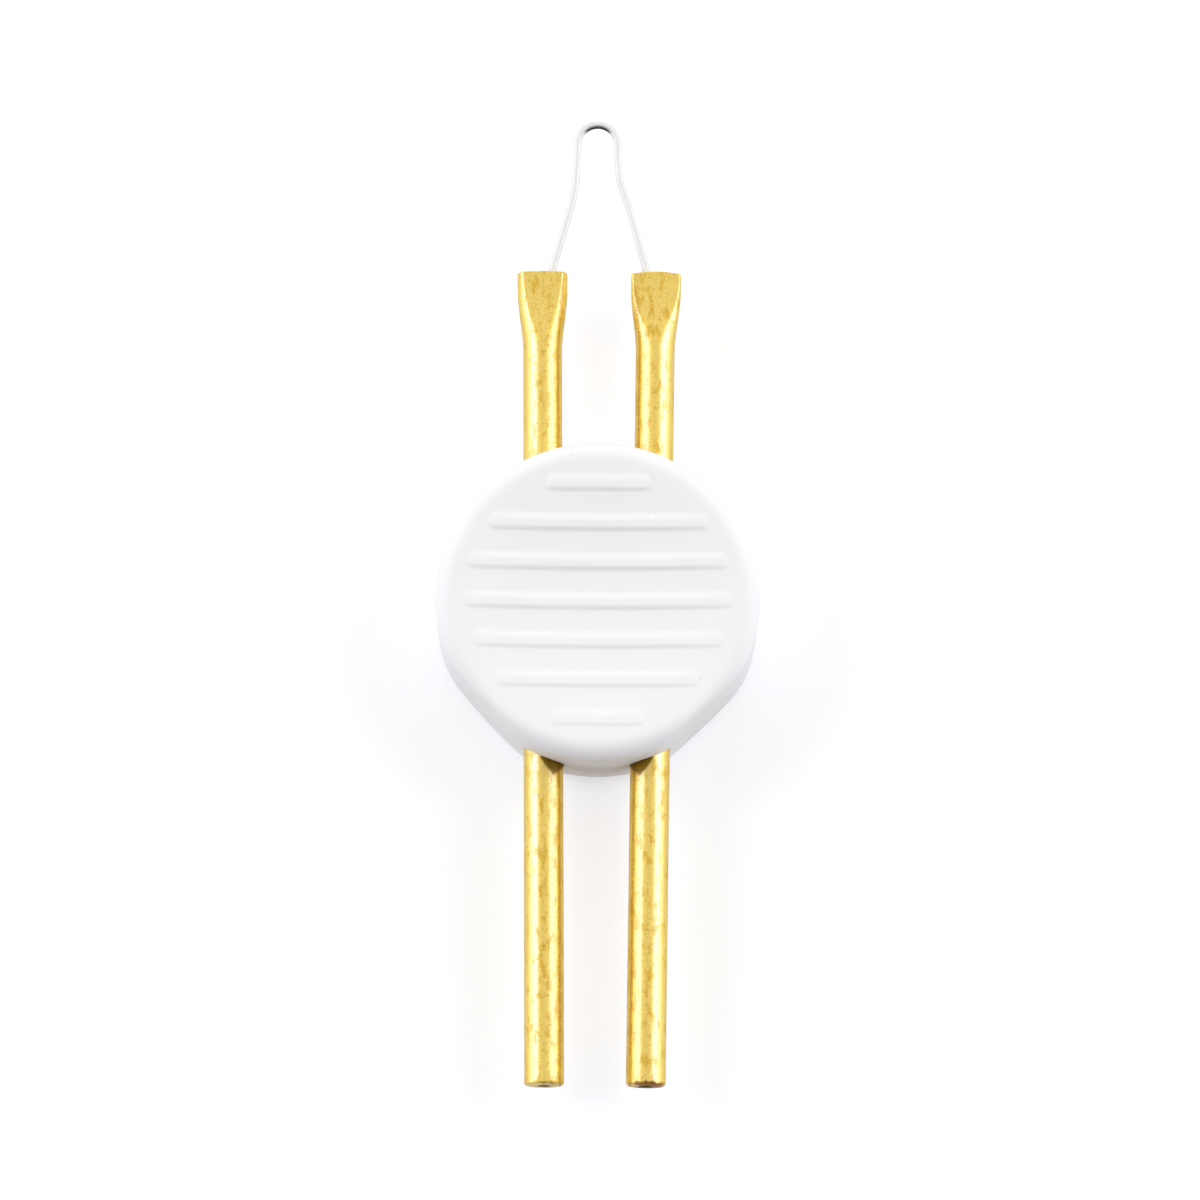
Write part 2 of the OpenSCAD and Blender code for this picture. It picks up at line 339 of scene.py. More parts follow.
def make_specks_group():
    """Small spots: each lies where the distance from a cell's centre, made uneven by a noise, is under Size.

    A cell keeps its spot where its own chance, from 0 to 1, is over Rarity.
    """
    tree, given, out = new_group(
        "specks",
        [("Cells", "NodeSocketFloat", 3000.0), ("Size", "NodeSocketFloat", 0.2),
         ("Rarity", "NodeSocketFloat", 0.5)],
        [("Mask", "NodeSocketFloat")])
    place = object_place(tree)
    warp = noise(tree, place, scale=2500.0)
    cells = add(tree, "ShaderNodeTexVoronoi", Vector=place, Scale=given["Cells"])
    reach = math_node(tree, "MULTIPLY", cells.outputs["Distance"], math_node(tree, "ADD", warp, 0.5))
    spot = math_node(tree, "LESS_THAN", reach, given["Size"])
    chance = add(tree, "ShaderNodeSeparateColor", Color=cells.outputs["Color"]).outputs[0]
    kept = math_node(tree, "GREATER_THAN", chance, given["Rarity"])
    tree.links.new(math_node(tree, "MULTIPLY", spot, kept), out.inputs["Mask"])
    return tree


def make_surface_group():
    """Fine unevenness: a normal from the sum of coarse waves and a fine grain, each times its height."""
    tree, given, out = new_group(
        "fine_surface",
        [("Wave Scale", "NodeSocketFloat", 400.0), ("Wave Height", "NodeSocketFloat", 0.00001),
         ("Grain Scale", "NodeSocketFloat", 8000.0), ("Grain Height", "NodeSocketFloat", 0.000001)],
        [("Normal", "NodeSocketVector")])
    place = object_place(tree)
    waves = noise(tree, place, given["Wave Scale"], detail=1.0)
    grain = noise(tree, place, given["Grain Scale"])
    height = math_node(tree, "ADD", math_node(tree, "MULTIPLY", waves, given["Wave Height"]),
                       math_node(tree, "MULTIPLY", grain, given["Grain Height"]))
    bump = add(tree, "ShaderNodeBump", Height=height, Distance=1.0)
    tree.links.new(bump.outputs["Normal"], out.inputs["Normal"])
    return tree


specks = make_specks_group()
fine_surface = make_surface_group()


def roughen(tree, shader, **values):
    """Gives a material's shader the fine unevenness, with the material's own scales and heights."""
    tree.links.new(place_group(tree, fine_surface, **values)["Normal"], shader.inputs["Normal"])


# ======== Materials ========

def make_plastic():
    """Matte white moulded plastic with a faint violet cast, a fine grain and a few dark specks."""
    material, tree, shader = new_material("white_plastic")
    cloud = noise(tree, object_place(tree), scale=250.0, detail=3.0)
    colour = mix_colours(tree, cloud, WHITE_SHADE, WHITE_PALE)
    dirt = place_group(tree, specks, Cells=1300.0, Size=0.045, Rarity=0.93)["Mask"]
    tree.links.new(mix_colours(tree, dirt, colour, WHITE_SPECK), shader.inputs["Base Color"])
    tree.links.new(ramp_between(tree, cloud, 0.3, 0.7, 0.46, 0.54), shader.inputs["Roughness"])
    roughen(tree, shader, Wave_Scale=500.0, Wave_Height=0.000004, Grain_Scale=14000.0,
            Grain_Height=0.0000009)
    shader.inputs["Specular IOR Level"].default_value = 0.4
    return material


def make_brass():
    """Drawn brass under a clear film: long streaks, dull ochre stains and dark specks.

    Brown tarnish lies on the rolled-in ends, and a brown line of painted shade runs along the side that faces
    the other tube. Painted shade also lies in a dark wedge under the grip, where the brass mirrors the grip's
    shaded wall, and in the ends' holes. The film is thinner on the side that faces the other tube and
    wherever the brass is dull.
    """
    material, tree, shader = new_material("brass_tube")
    pressed = read_attribute(tree, "pressed")
    burnt = read_attribute(tree, "burnt")
    # painted shade: the grip's shaded wall mirrored dark in a wedge under it, and the shade in the ends'
    # holes
    grime = read_attribute(tree, "grime")
    inward = read_attribute(tree, "inward")

    streaks = noise(tree, object_place(tree, (1, 0.04, 1)), scale=5200.0, detail=3.0, roughness=0.6)
    patches = noise(tree, object_place(tree, (1, 0.4, 1)), scale=2400.0, detail=4.0, roughness=0.6)
    fine = noise(tree, object_place(tree), scale=9000.0, detail=3.0, roughness=0.7)

    # stains lie where the patches are strong and are finely broken; the few more of them on the inner side
    # are painted shade that dims the highlight there
    stain = ramp_between(tree, math_node(tree, "MULTIPLY_ADD", inward, 0.04, patches), 0.495, 0.62)
    stain = math_node(tree, "MULTIPLY", stain, ramp_between(tree, fine, 0.4, 0.6, 0.6, 1.0))
    mottle = ramp_between(tree, fine, 0.5, 0.7)
    # the line is painted shade, where the brass mirrors the dark gap between the tubes; it starts and ends on
    # the inner side, is finely broken, and is faint where the tube is pressed
    line = chain(tree, "MULTIPLY",
                 ramp_between(tree, inward, 0.66, 0.76),
                 ramp_between(tree, inward, 0.83, 0.9, 1.0, 0.0),
                 ramp_between(tree, fine, 0.35, 0.6, 0.35, 0.9),
                 math_node(tree, "MULTIPLY_ADD", pressed, -0.7, 1.0))
    dots = place_group(tree, specks, Cells=4600.0, Size=0.2, Rarity=0.8)["Mask"]
    dot = math_node(tree, "MULTIPLY", dots, 0.7)
    # the patches make the tarnish's edge ragged
    brown = ramp_between(tree, math_node(tree, "MULTIPLY_ADD", patches, 0.9, burnt), 0.85, 1.15)

    colour = mix_colours(tree, streaks, BRASS_DEEP, BRASS_PALE)
    # of these marks, the line on the inner side and the dark wedge and holes are painted shade
    marks = ((stain, OCHRE_STAIN), (mottle, OCHRE_MOTTLE), (line, INNER_SHADE_BROWN), (dot, SPECK_BROWN),
             (brown, TARNISH_BROWN), (grime, PAINTED_SHADE_BROWN))
    for mask, mark_colour in marks:
        colour = mix_colours(tree, mask, colour, mark_colour)
    tree.links.new(colour, shader.inputs["Base Color"])

    # the film is whole where nothing is dull, and thinner on the inner side except where it is pressed
    inner = math_node(tree, "MULTIPLY", ramp_between(tree, inward, 0.1, 0.45, 0.0, 0.32),
                      math_node(tree, "SUBTRACT", 1.0, pressed))
    dull = chain(tree, "MAXIMUM",
                 math_node(tree, "MULTIPLY", stain, 0.7),
                 math_node(tree, "MULTIPLY", mottle, 0.5),
                 math_node(tree, "MULTIPLY", line, 0.8),
                 math_node(tree, "MULTIPLY", brown, 0.85),
                 dot, grime, inner)
    tree.links.new(math_node(tree, "SUBTRACT", 1.0, dull), shader.inputs["Coat Weight"])

    rough = chain(tree, "ADD",
                  ramp_between(tree, fine, 0.3, 0.75, 0.56, 0.64),
                  math_node(tree, "MULTIPLY", stain, 0.08),
                  math_node(tree, "MULTIPLY", brown, 0.2))
    tree.links.new(rough, shader.inputs["Roughness"])
    roughen(tree, shader, Wave_Scale=700.0, Wave_Height=0.000004, Grain_Scale=9000.0,
            Grain_Height=0.0000012)
    shader.inputs["Metallic"].default_value = 1.0
    shader.inputs["Coat IOR"].default_value = 2.55
    shader.inputs["Coat Roughness"].default_value = 0.24
    return material


def make_wire_metal():
    """Pale drawn resistance wire, with painted black shade along the inside of the arch, where it mirrors the
    dark.
    """
    material, tree, shader = new_material("resistance_wire")
    scorched = read_attribute(tree, "scorched")
    streaks = noise(tree, object_place(tree, (1, 0.08, 1)), scale=9000.0, detail=3.0, roughness=0.6)
    colour = mix_colours(tree, streaks, WIRE_GREY, WIRE_PALE)
    # painted shade along the inside of the arch, broken by the streaks
    scale = math_node(tree, "MULTIPLY", scorched, ramp_between(tree, streaks, 0.3, 0.6, 0.8, 1.0))
    tree.links.new(mix_colours(tree, scale, colour, ARCH_SHADE_BLACK), shader.inputs["Base Color"])
    tree.links.new(ramp_between(tree, streaks, 0.3, 0.7, 0.68, 0.76), shader.inputs["Roughness"])
    roughen(tree, shader, Wave_Scale=1500.0, Wave_Height=0.000002, Grain_Scale=12000.0,
            Grain_Height=0.0000008)
    shader.inputs["Metallic"].default_value = 1.0
    return material


# ======== Contact tubes ========

class TubeAxis:
    """One tube's own directions: along it towards the wire, across it, and up.

    Its base is level with the grip's centre, and plug and mouth are how far along from there its ends are.
    """

    def __init__(self, mount_name, node):
        mount = mounts[mount_name]
        low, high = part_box(node)
        self.up = np.array([0.0, 0.0, 1.0])
        self.along = -np.array(mount["axis"])
        self.along /= np.linalg.norm(self.along)
        self.across = np.cross(self.along, self.up)
        place = np.array(mount["pos_m"])
        self.base = place + self.along * (GRIP_Y - place[1]) / self.along[1]
        self.plug = (low.y - GRIP_Y) / self.along[1] + TUBE_END_GAP * END_ROUND
        self.mouth = (high.y - GRIP_Y) / self.along[1] - TUBE_END_GAP * END_ROUND

    def to_frame(self, across, up, along):
        """Points given along the tube's own directions, in the frame: base + across + up + along."""
        across, up, along = (np.asarray(value)[..., None] for value in (across, up, along))
        return self.base + across * self.across + up * self.up + along * self.along


class Crimp(NamedTuple):
    """How one tube's mouth is squeezed."""

    flat_half: float     # half of the pressed flat's width at the mouth
    flat_len: float      # its length
    bluntness: float     # the power that rounds its lower end
    squareness: float    # the power of the mouth's section, where 2 is an ellipse
    bow: float           # how far the middle of the mouth's edge stands out beyond its sides

    def section(self, depth):
        """Half width, full half height, power and height of the flats, at a depth below the mouth.

        The section is a superellipse cut by two flats. Its half width, half height and power follow a smooth
        step. The flat's half width is A (1 - (1 - t)^n)^(1/2), where t runs from 0 at the flat's lower end to
        1 at the mouth, and the flats stand where the superellipse is that wide. Below the flats' lower end
        they rise clear of it.
        """
        closed = smooth_step((WIDEN_START - depth) / (WIDEN_START - WIDEN_END))
        mouth_cut = (1 - (self.flat_half / (MOUTH_W / 2)) ** self.squareness) ** (1 / self.squareness)
        half_w = TUBE_R + (MOUTH_W / 2 - TUBE_R) * closed
        full = TUBE_R + (MOUTH_T / 2 / mouth_cut - TUBE_R) * closed
        power = 2 + (self.squareness - 2) * closed
        t = 1 - depth / self.flat_len
        flat_squared = self.flat_half ** 2 * (1 - (1 - np.maximum(t, 0)) ** self.bluntness)
        flat_z = full * (1 - (flat_squared / half_w ** 2) ** (power / 2)) ** (1 / power)
        return half_w, full, power, flat_z * (1 + FLAT_RISE * np.maximum(-t, 0))

    def set_back(self, across, depth):
        """How far a point lies behind the mouth's bow: its place across squared, faded out down the tube."""
        return self.bow * (across / (MOUTH_W / 2)) ** 2 * smooth_step(1 - depth / BOW_FADE)


class Tarnish(NamedTuple):
    """How brown one tube's rolled-in end is."""

    reach: float         # how far along the tube it goes
    all_round: float
    one_side: float      # how much stronger it is on the side across the tube
    on_top: float        # and on top and below

    def strength(self, across, along):
        """A smooth step down along the tube, times the sum of what lies all round, to one side and on top."""
        side = self.one_side * smooth_step(across / TUBE_R)
        top = self.on_top * smooth_step(1 - np.abs(across) / TUBE_R)
        return smooth_step(1 - along / self.reach) * (self.all_round + side + top)


def crimped_outline(section, inset, turns):
    """Points round a section: a superellipse whose height is cut by the flats with a high power mean.

    Across is (half_w - inset) cos(turn)^(2/m). Up is (full - inset) sin(turn)^(2/m), cut at flat_z - inset.
    """
    half_w, full, power, flat_z = section
    across = (half_w - inset) * np.sign(np.cos(turns)) * np.abs(np.cos(turns)) ** (2 / power)
    round_up = (full - inset) * np.abs(np.sin(turns)) ** (2 / power) + NO_HEIGHT
    cut = (round_up ** -FLAT_CUT + (flat_z - inset) ** -FLAT_CUT) ** (-1 / FLAT_CUT)
    return across, np.sign(np.sin(turns)) * cut


def even_turns(section, inset, columns):
    """Angles that place the columns at even steps along each section's outline, by its running length."""
    fine = np.linspace(0, 2 * np.pi, OUTLINE_STEPS + 1)
    across, up = crimped_outline(section, inset, fine[None, :])
    steps = np.hypot(np.diff(across, axis=1), np.diff(up, axis=1))
    run = np.concatenate([np.zeros((len(steps), 1)), np.cumsum(steps, axis=1)], axis=1)
    wanted = (np.arange(columns) + 0.5) / columns
    return np.stack([np.interp(wanted * length[-1], length, fine) for length in run])


def tube_rows(axis):
    """The tube's wall as rows of (how far along, how far in from the outside), once round its section.

    They run from the rolled-in end's hole over the end, up the outside, over the mouth and down the inside.
    Every edge is a quarter circle.
    """
    plug, mouth = axis.plug, axis.mouth
    quarter = np.linspace(0, np.pi / 2, QUARTER_ROWS)
    hole = TUBE_R - END_HOLE_R
    up_hole = [(plug + TUBE_WALL, hole), (plug + 2 * HOLE_EDGE, hole)]
    hole_edge = [(plug + HOLE_EDGE * (1 - math.sin(a)), hole - HOLE_EDGE * (1 - math.cos(a)))
                 for a in quarter]
    corner = [(plug + END_ROUND * (1 - math.cos(a)), END_ROUND * (1 - math.sin(a))) for a in quarter]

    straight = np.linspace(plug + 1.5 * END_ROUND, mouth - WIDEN_START - 0.2 * MM, STRAIGHT_ROWS)
    by_wall = np.arange(-GRIP_R - 1.0 * MM, -GRIP_R + 1.1 * MM, SHADE_WEDGE_ROW_STEP)
    crimp = np.linspace(mouth - WIDEN_START, mouth - 1.2 * MOUTH_EDGE, CRIMP_ROWS)
    outside = np.concatenate([np.unique(np.concatenate([straight, by_wall])), crimp])

    lip = [(mouth - MOUTH_EDGE * (1 - math.sin(a)), MOUTH_EDGE * (1 - math.cos(a))) for a in quarter]
    lip_in = [(s, TUBE_WALL - inset) for s, inset in reversed(lip)]
    inside = np.linspace(mouth - 2 * MOUTH_EDGE, mouth - WIDEN_START, INSIDE_ROWS)
    down = [(mouth - WIDEN_START - 1 * MM, TUBE_WALL), (plug + TUBE_WALL, TUBE_WALL)]
    return np.array(up_hole + hole_edge + corner + [(s, 0.0) for s in outside]
                    + lip + lip_in + [(s, TUBE_WALL) for s in inside] + down)


def grime_mask(points, inward, inset):
    """Painted shade: a dark wedge below the grip's lower wall on the inner side, where the brass mirrors the
    shaded wall, and the shade in the rolled-in end's hole.

    From the tube's top line inwards the wedge's depth rises to its full depth, and it falls again to the
    side.
    The painted shade thins out evenly from the wall down.
    """
    wall_y = GRIP_Y - np.sqrt(GRIP_R ** 2 - points[..., 0] ** 2)
    below = wall_y - points[..., 1]
    rise = (inward - SHADE_WEDGE_START) / (SHADE_WEDGE_PEAK - SHADE_WEDGE_START)
    fall = 1 - SHADE_WEDGE_FALL * (inward - SHADE_WEDGE_PEAK)
    depth = SHADE_WEDGE_DEPTH * np.clip(np.minimum(rise, fall), 0, 1) ** SHADE_WEDGE_CURVE
    thinner = 1 - SHADE_WEDGE_THINNING * np.clip(below / SHADE_WEDGE_DEPTH, 0, 1)
    wedge = thinner * smooth_step((depth - below) / SHADE_WEDGE_EDGE + 0.5) * (depth > 0) * (below > -SHADE_WEDGE_ABOVE)
    # painted shade in the rolled-in end's hole
    hole = smooth_step((inset - TUBE_R + END_HOLE_R + HOLE_SHADE_EDGE) / HOLE_SHADE_EDGE)
    return np.maximum(wedge, hole)


def make_tube(name, node, crimp, tarnish):
    """A tube whose section turns from a circle into a cut superellipse at the mouth.

    Each row of the wall is carried round its section, in even steps. The mesh says for each point how far it
    is pressed flat, how burnt it is, how much painted shade it carries, and how far it faces the other tube,
    from -1 to 1.
    """
    axis = tube_axes[node]
    rows = tube_rows(axis)
    along, inset = rows[:, :1], rows[:, 1:]
    depth = axis.mouth - along
    section = crimp.section(depth)
    across, up = crimped_outline(section, inset, even_turns(section, inset, TUBE_COLUMNS))
    points = axis.to_frame(across, up, along - crimp.set_back(across, depth))

    half_w, flat_z = section[0], section[3]
    near_flat = np.abs(np.abs(up) - (flat_z - inset)) < FLAT_TOUCH
    inward = -across / half_w * np.sign(axis.base[0]) * np.sign(axis.across[0])
    make_piece(name, points, [grid_faces(len(rows), TUBE_COLUMNS, True, True)[:, ::-1]], brass, node,
               "brass_tube",
               pressed=near_flat * smooth_step((crimp.flat_len - depth) / PRESS_FADE),
               burnt=tarnish.strength(across, along - axis.plug),
               # painted shade: the grip's wall mirrored dark under it, and the shade in the end's hole
               grime=grime_mask(points, inward, inset),
               inward=inward)


# ======== Heating wire ========

def arc_points(centre, radius, start, end, count):
    """Points on an arc, from one angle to another in even steps."""
    angles = np.linspace(start, end, count)[:, None]
    return np.array(centre) + radius * np.hstack([np.cos(angles), np.sin(angles)])


def wire_route():
    """The wire's centre line in the plane of the seam: arch, short leg, bend and long leg, and their mirror.

    The bend is an arc that touches both legs. The arch is then pushed sideways by a smooth step of how far it
    stands out of the mouths.
    """
    mouth_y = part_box("contact_tube_left")[1].y
    mouth_x = tube_axes["contact_tube_right"].to_frame(0.0, 0.0, mouth_y - GRIP_Y)[0] - WIRE_INSET
    arch_y = wire_high.y - WIRE_R - ARCH_R
    corner_x = ARCH_R / math.cos(ARCH_SPLAY) + BEND_DROP * math.tan(ARCH_SPLAY)
    corner = np.array([corner_x, arch_y - BEND_DROP])
    splay = math.atan((mouth_x - corner[0]) / (corner[1] - mouth_y))
    reach = BEND_R * math.tan((splay - ARCH_SPLAY) / 2)
    bend_top = corner + reach * np.array([-math.sin(ARCH_SPLAY), math.cos(ARCH_SPLAY)])
    bend_centre = bend_top + BEND_R * np.array([math.cos(ARCH_SPLAY), math.sin(ARCH_SPLAY)])
    end = np.array([mouth_x + WIRE_SEAT * math.tan(splay), mouth_y - WIRE_SEAT])

    arch = arc_points((0, arch_y), ARCH_R, math.pi / 2, ARCH_SPLAY, ARCH_POINTS)
    bend = arc_points(bend_centre, BEND_R, math.pi + ARCH_SPLAY, math.pi + splay, BEND_POINTS)
    short_leg = arch[-1] + (bend[0] - arch[-1]) * np.linspace(0, 1, SHORT_LEG_POINTS)[1:-1, None]
    long_leg = bend[-1] + (end - bend[-1]) * np.linspace(0, 1, LONG_LEG_POINTS)[1:, None]
    half = np.vstack([arch, short_leg, bend, long_leg])
    route = np.vstack([half[:0:-1] * [-1, 1], half])
    route[:, 0] -= ARCH_LEAN * smooth_step((route[:, 1] - mouth_y - LEAN_START) / LEAN_RISE)
    return route


def make_wire():
    """A round section carried along the route, square to it, with flat ends.

    A point is the route + r cos(turn) sideways + r sin(turn) up. The painted shade on the arch is a smooth
    step of how far its side faces the inside of the arch, times one of how far the wire runs across there.
    """
    route = wire_route()
    rows = len(route)
    ahead = np.gradient(route, axis=0)
    ahead /= np.linalg.norm(ahead, axis=1)[:, None]
    side = np.stack([ahead[:, 1], -ahead[:, 0]], -1)
    turns = np.arange(WIRE_SIDES) * 2 * np.pi / WIRE_SIDES
    flat = route[:, None, :] + WIRE_R * np.cos(turns)[None, :, None] * side[:, None, :]
    up = np.broadcast_to(SEAM_Z + WIRE_R * np.sin(turns), flat.shape[:2])
    points = np.concatenate([flat, up[..., None]], -1)
    ends = np.array([np.arange(WIRE_SIDES), (rows - 1) * WIRE_SIDES + np.arange(WIRE_SIDES)[::-1]])
    inside = step_between(np.cos(turns)[None, :], ARCH_SHADE_INSIDE)
    across = step_between(ahead[:, :1], ARCH_SHADE_TOP)
    make_piece("wire", points, [grid_faces(rows, WIRE_SIDES, False, True), ends], wire_metal,
               "heating_wire", "resistance_wire", scorched=inside * across)


# ======== Grip shells ========

def lesser(first, second, ease):
    """The lesser of two lengths, with the corner between them eased: -k ln(e^(-a/k) + e^(-b/k))."""
    low = np.minimum(first, second)
    return low - ease * np.log(np.exp((low - first) / ease) + np.exp((low - second) / ease))


def outline_reach(angle, circle_r=GRIP_R):
    """From the grip's centre to its edge: the lesser of a circle and the two flats, with eased corners.

    The easing goes from a flat's first corner to its second as a smooth step of the turn past its middle.
    """
    reach = circle_r + 0 * angle
    for direction, ease, next_ease in FLATS:
        turn = (angle - math.radians(direction) + math.pi) % (2 * math.pi) - math.pi
        ease = ease + (next_ease - ease) * smooth_step(turn / EASE_TURN + 0.5)
        reach = lesser(reach, FLAT_REACH / np.maximum(np.cos(turn), LEAST_COS), ease)
    return reach


def rib_height(x, y):
    """Height of the ribs over the dish: for each bar, a smooth step of the distance in from its edge."""
    height = np.zeros_like(x)
    last_row = len(RIB_HALF_LENGTHS) - 1
    for row, half_len in enumerate(RIB_HALF_LENGTHS):
        rib_y = (row - last_row / 2) * RIB_PITCH - RIB_SHIFT
        over = y - rib_y
        over = np.where(over > 0, RIB_EASE * over, over)
        away = np.hypot(np.maximum(np.abs(x) - half_len * MM, 0), over)
        rib_top = max(RIB_H - RIB_FADE * (last_row - row), RIB_LOW_H)
        height = np.maximum(height, rib_top * smooth_step((RIB_HALF_W - away) / RIB_FLANK))
    return height


def face_height(x, y, rim):
    """Height of the face over the seam: the lesser of the rim's rounding and the dish with its ribs.

    The dish is DISH_DEPTH deep in the middle and rises as the square of the distance from it.
    """
    dish = HALF_T - DISH_DEPTH * (1 - (x ** 2 + y ** 2) / DISH_R ** 2)
    return lesser(rim, dish + rib_height(x, y), CREST_EASE)


def tube_pockets(points):
    """Pushes the wall in round each tube, along the tube, to leave an open ring around it.

    A point's distance from the tube's axis decides: inside the hole's radius it moves in by the hole's depth,
    and a point that is nearly on that radius is first moved onto it.
    """
    hole_r = TUBE_R + HOLE_GAP
    for axis in tube_axes.values():
        offset = points - (axis.base - [0, GRIP_Y, SEAM_Z])
        across, up = offset @ axis.across, offset @ axis.up
        away = np.hypot(across, up) + NEVER_ZERO
        snap = np.abs(away - hole_r) < HOLE_SNAP
        factor = np.where(snap, hole_r / away, 1.0) - 1
        points += (across * factor)[..., None] * axis.across + (up * factor)[..., None] * axis.up
        inside = (away < hole_r) & ~snap
        points -= (inside * HOLE_DEPTH * np.sign(offset @ axis.along))[..., None] * axis.along
    return points


def dished_face():
    """The face inside the rim's crest: (points, faces, the points round its edge, their angles).

    It is a grid of straight rows across a disc, x = t * half chord, so that the ribs run along the rows. The
    rows come first and then the two poles. The edge goes once round from the lowest point.
    """
    crest_r = GRIP_R - RIM_ROUND
    row_angle = np.linspace(-np.pi / 2, np.pi / 2, FACE_ROWS + 1)
    spread = np.sin(np.linspace(-1, 1, FACE_COLUMNS + 1) * np.pi / 2)
    x = np.outer(np.cos(row_angle), spread) * crest_r
    y = np.outer(np.sin(row_angle), np.ones_like(spread)) * crest_r
    face = np.stack([x, y, face_height(x, y, HALF_T)], -1)
    points = np.concatenate([face[1:-1].reshape(-1, 3), face[[0, -1], 0]])

    rows, columns = FACE_ROWS - 1, FACE_COLUMNS + 1
    pole_low, pole_high = rows * columns, rows * columns + 1
    step = np.arange(FACE_COLUMNS)
    top = (rows - 1) * columns + step
    faces = [grid_faces(rows, columns, False, False)[:, ::-1],
             np.stack([np.full_like(step, pole_low), step + 1, step], -1),
             np.stack([np.full_like(step, pole_high), top, top + 1], -1)]

    right = np.arange(rows) * columns + FACE_COLUMNS
    left = np.arange(rows)[::-1] * columns
    edge = np.concatenate([[pole_low], right, [pole_high], left])
    angle = np.concatenate([row_angle[:-1], np.pi - row_angle[::-1][:-1]])
    return points, faces, edge, angle


def edge_profile(angle):
    """The rows of points outside the crest, each once round: the rim, the wall, the seam and the hollow.

    Each edge point carries a profile: the rim's quarter round, which the flats cut short, the wall down to
    the seam's small quarter round, in along the seam, and up the hollow behind the wall.
    """
    arc = np.linspace(np.pi / 2, 0, ARC_STEPS + 1)[1:]
    seam = np.linspace(0, np.pi / 2, SEAM_ROWS)
    rim_z = HALF_T - RIM_ROUND
    wall = np.arange(rim_z - WALL_STEP, SEAM_ROUND + WALL_STEP / 2, -WALL_STEP)
    rim_in = np.concatenate([RIM_ROUND * (1 - np.cos(arc)), 0 * wall, 0 * seam])
    seam_in = np.concatenate([0 * arc, 0 * wall, SEAM_ROUND * (1 - np.cos(seam))])
    height = np.concatenate([rim_z + RIM_ROUND * np.sin(arc), wall, SEAM_ROUND * (1 - np.sin(seam))])

    reach = outline_reach(angle, GRIP_R - rim_in[:, None]) - seam_in[:, None]
    x, y = reach * np.cos(angle), reach * np.sin(angle)
    z = np.where((height > rim_z)[:, None], face_height(x, y, height[:, None]), height[:, None])
    outside = tube_pockets(np.stack([x, y, z], -1))

    hollow_reach = outline_reach(angle) - EDGE_WALL
    hollow = np.stack(np.broadcast_arrays(hollow_reach * np.cos(angle), hollow_reach * np.sin(angle),
                                          np.array([[0.0], [HOLLOW_H]])), -1)
    return np.concatenate([outside, hollow])


def shell_points():
    """The shell on its seam plane, face up: (points, faces).

    The face and the profile's rows are joined at the crest, and the hollow closes in a fan at its centre.
    """
    face_points, faces, edge, angle = dished_face()
    profile = edge_profile(angle)
    start = len(face_points)
    count = len(edge)
    around = np.arange(count)
    following = (around + 1) % count
    last = start + (len(profile) - 1) * count
    centre = start + len(profile) * count
    faces += [np.stack([edge, start + around, start + following, edge[following]], -1),
              grid_faces(len(profile), count, False, True, start),
              np.stack([last + around, np.full_like(around, centre), last + following], -1)]
    return np.concatenate([face_points, profile.reshape(-1, 3), [[0, 0, HOLLOW_H]]]), faces


def make_shells():
    """The front shell, and the rear shell as its mirror image in the seam plane."""
    points, faces = shell_points()
    middle = np.array([0, GRIP_Y, SEAM_Z])
    make_piece("grip_front", points + middle, faces, plastic, "grip_front_shell", "white_plastic")
    make_piece("grip_rear", points * [1, 1, -1] + middle, [group[:, ::-1] for group in faces], plastic,
               "grip_rear_shell", "white_plastic")


# ======== Making the object ========

plastic = make_plastic()
brass = make_brass()
wire_metal = make_wire_metal()
tube_axes = {
    "contact_tube_left": TubeAxis("contact_left", "contact_tube_left"),
    "contact_tube_right": TubeAxis("contact_right", "contact_tube_right"),
}

make_tube("tube_left", "contact_tube_left",
          Crimp(flat_half=1.21 * MM, flat_len=3.87 * MM, bluntness=1.45, squareness=2, bow=0.06 * MM),
          Tarnish(reach=0.45 * MM, all_round=0.25, one_side=0.05, on_top=0.25))
make_tube("tube_right", "contact_tube_right",
          Crimp(flat_half=1.44 * MM, flat_len=3.3 * MM, bluntness=2.4, squareness=4, bow=0.15 * MM),
          Tarnish(reach=0.6 * MM, all_round=0.3, one_side=0.3, on_top=0.45))
make_wire()
make_shells()


# ======== Floor, light and camera ========

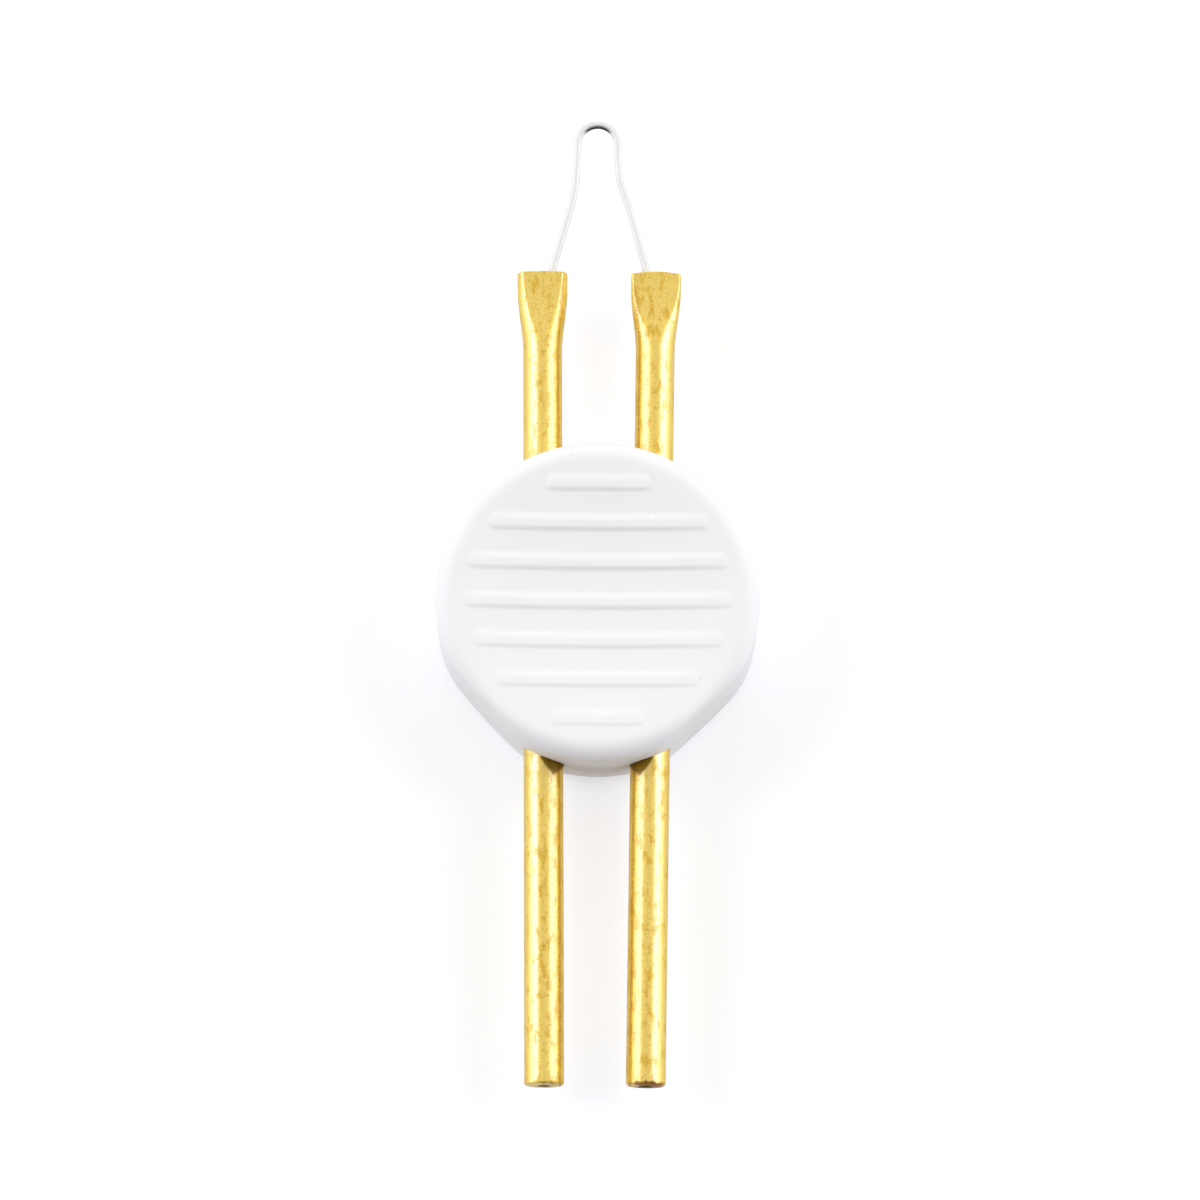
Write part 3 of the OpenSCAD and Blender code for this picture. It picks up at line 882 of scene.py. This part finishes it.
def make_floor():
    """A plain white floor that keeps the object's shadow, and can be seen through from below.

    It is painted a little bluer between the tubes than beside them, against the yellow light that the brass
    throws on it there, and it is lifted where the camera sees it and, faintly, where the metal mirrors it.
    """
    size = FLOOR_HALF
    corners = [(-size, -size, 0), (size, -size, 0), (size, size, 0), (-size, size, 0)]
    mesh = bpy.data.meshes.new("floor")
    mesh.from_pydata(corners, [], [(0, 1, 2, 3)])
    material = bpy.data.materials.new("floor_white")
    material.use_nodes = True
    tree = material.node_tree
    tree.nodes.clear()
    place = add(tree, "ShaderNodeSeparateXYZ", Vector=object_place(tree)).outputs
    beside = ramp_between(tree, math_node(tree, "ABSOLUTE", place["X"]), *FLOOR_CHANGE)
    plain = add(tree, "ShaderNodeBsdfDiffuse", Color=mix_colours(tree, beside, FLOOR_BETWEEN, FLOOR_BESIDE))
    path = add(tree, "ShaderNodeLightPath").outputs
    seen = math_node(tree, "MULTIPLY", path["Is Camera Ray"], CAMERA_LIFT)
    mirrored = math_node(tree, "MULTIPLY", path["Is Glossy Ray"], GLOSSY_LIFT)
    lift = add(tree, "ShaderNodeEmission", Color=PURE_WHITE,
               Strength=math_node(tree, "ADD", seen, mirrored))
    lit = add(tree, "ShaderNodeAddShader", __0=plain.outputs[0], __1=lift.outputs[0])
    behind = add(tree, "ShaderNodeNewGeometry").outputs["Backfacing"]
    clear = add(tree, "ShaderNodeBsdfTransparent")
    both = add(tree, "ShaderNodeMixShader", __0=behind, __1=lit.outputs[0], __2=clear.outputs[0])
    add(tree, "ShaderNodeOutputMaterial", Surface=both.outputs[0])
    mesh.materials.append(material)
    floor = bpy.data.objects.new("floor", mesh)
    bpy.context.scene.collection.objects.link(floor)


def make_world():
    """A studio seen as white by the camera. As light it is the sum of four smooth ramps of the heading."""
    world = bpy.data.worlds.new("studio")
    bpy.context.scene.world = world
    world.use_nodes = True
    tree = world.node_tree
    tree.nodes.clear()
    heading = add(tree, "ShaderNodeTexCoord").outputs["Generated"]
    axes = add(tree, "ShaderNodeSeparateXYZ", Vector=heading).outputs
    aside = math_node(tree, "ABSOLUTE", axes["X"])
    corner = math_node(tree, "SUBTRACT", aside, axes["Y"])
    strength = chain(tree, "ADD",
                     ramp_between(tree, axes["Y"], -0.75, 0.1, 0.06, 0.72),   # darkest beyond the plug ends
                     ramp_between(tree, aside, 0.74, 1.0, 0.0, 1.42),         # bright to both sides
                     ramp_between(tree, axes["Y"], 0.5, 0.9, 0.0, 0.4),       # brighter beyond the wire
                     ramp_between(tree, corner, 1.13, 1.41, 0.0, 1.0))        # and in the corners between
    light = add(tree, "ShaderNodeBackground", Color=PURE_WHITE, Strength=strength)
    white = add(tree, "ShaderNodeBackground", Color=PURE_WHITE, Strength=1.0)
    seen = add(tree, "ShaderNodeLightPath").outputs["Is Camera Ray"]
    both = add(tree, "ShaderNodeMixShader", __0=seen, __1=light.outputs[0], __2=white.outputs[0])
    add(tree, "ShaderNodeOutputWorld", Surface=both.outputs[0])


def make_lamp(name, side):
    """A soft rectangular lamp of an even radiance on one side, -1 or 1, facing the grip."""
    width, height = LAMP_SIZE
    aside, ahead, up = LAMP_PLACE
    lamp = bpy.data.lights.new(name, "AREA")
    lamp.shape = "RECTANGLE"
    lamp.size = width
    lamp.size_y = height
    lamp.energy = LAMP_RADIANCE * math.pi * width * height
    holder = bpy.data.objects.new(name, lamp)
    holder.location = (side * aside, ahead, up)
    aim = Vector((0, GRIP_Y, SEAM_Z)) - holder.location
    holder.rotation_euler = aim.to_track_quat("-Z", "Y").to_euler()
    bpy.context.scene.collection.objects.link(holder)


def make_camera():
    """Looks down on the grip from a little towards the plug ends, through a long lens."""
    aim = Vector((CAMERA_AIM[0], GRIP_Y + CAMERA_AIM[1], SEAM_Z))
    back = Vector((0, -math.sin(CAMERA_LEAN), math.cos(CAMERA_LEAN)))
    data = bpy.data.cameras.new("camera")
    data.sensor_width = CAMERA_SENSOR
    data.lens = CAMERA_LENS
    camera = bpy.data.objects.new("camera", data)
    turn = (-back).to_track_quat("-Z", "Y").to_matrix().to_4x4() @ Matrix.Rotation(CAMERA_ROLL, 4, "Z")
    camera.matrix_world = Matrix.Translation(aim + back * CAMERA_DISTANCE) @ turn
    bpy.context.scene.collection.objects.link(camera)
    bpy.context.scene.camera = camera


make_floor()
make_world()
make_lamp("lamp_left", -1)
make_lamp("lamp_right", 1)
make_camera()
bpy.context.scene.view_settings.view_transform = "Standard"
